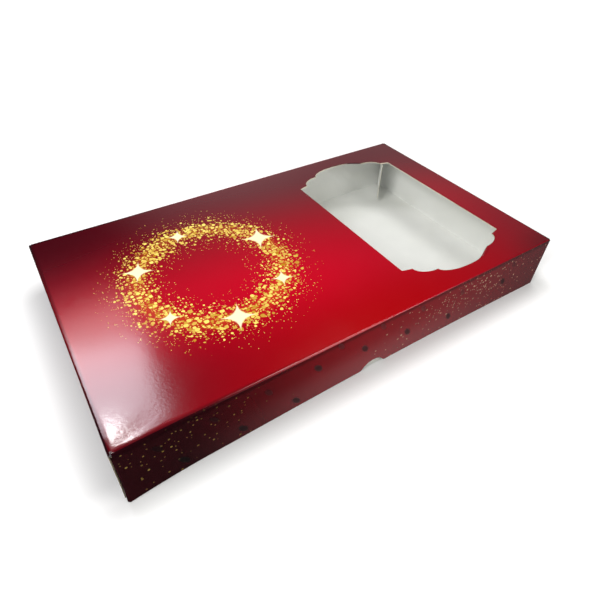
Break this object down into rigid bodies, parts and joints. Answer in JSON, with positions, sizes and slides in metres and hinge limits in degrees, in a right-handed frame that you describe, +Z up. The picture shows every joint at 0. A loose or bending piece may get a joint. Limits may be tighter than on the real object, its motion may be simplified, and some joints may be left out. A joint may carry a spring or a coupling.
{
  "type": "sweet box",
  "caption": "Long low sweet box of folded board: a glossy red lid with a shaped film window slides over a white tray.",
  "frame": {"origin": "middle of the closed box's footprint, on the table", "axes": "+X along the length to the window's end, -Y to the front long side, +Z up"},
  "size_m": [0.305, 0.178, 0.04],
  "materials": {
    "printed_board": "red print under gloss film laminate outside, white inside",
    "white_board": "plain white, satin",
    "clear_film": "clear"
  },
  "bodies": {
    "tray": {"base_floor": "white_board", "base_front_wall": "white_board", "base_back_wall": "white_board", "base_left_wall": "white_board", "base_right_wall": "white_board", "base_flap_front_left": "white_board", "base_flap_back_left": "white_board", "base_flap_front_right": "white_board"},
    "lid": {"lid_top_panel": "printed_board", "lid_front_wall": "printed_board", "lid_back_wall": "printed_board", "lid_left_wall": "printed_board", "lid_right_wall": "printed_board", "lid_flap_front_left": "printed_board", "lid_flap_back_left": "printed_board", "lid_flap_front_right": "printed_board", "lid_flap_back_right": "printed_board", "window_film": "clear_film"},
    "loose_flap": {"loose_corner_flap": "white_board"}
  },
  "joints": [
    {"name": "lid_lift", "type": "slide", "parent": "tray", "child": "lid", "axis": [0, 0, 1], "range_m": [0, 0.08]},
    {"name": "loose_flap_swing", "type": "hinge", "parent": "tray", "child": "loose_flap", "pos_m": [0.1484, 0.0854, 0.0195], "axis": [0, 0, 1], "range_deg": [-47.5, 39.5]}
  ]
}
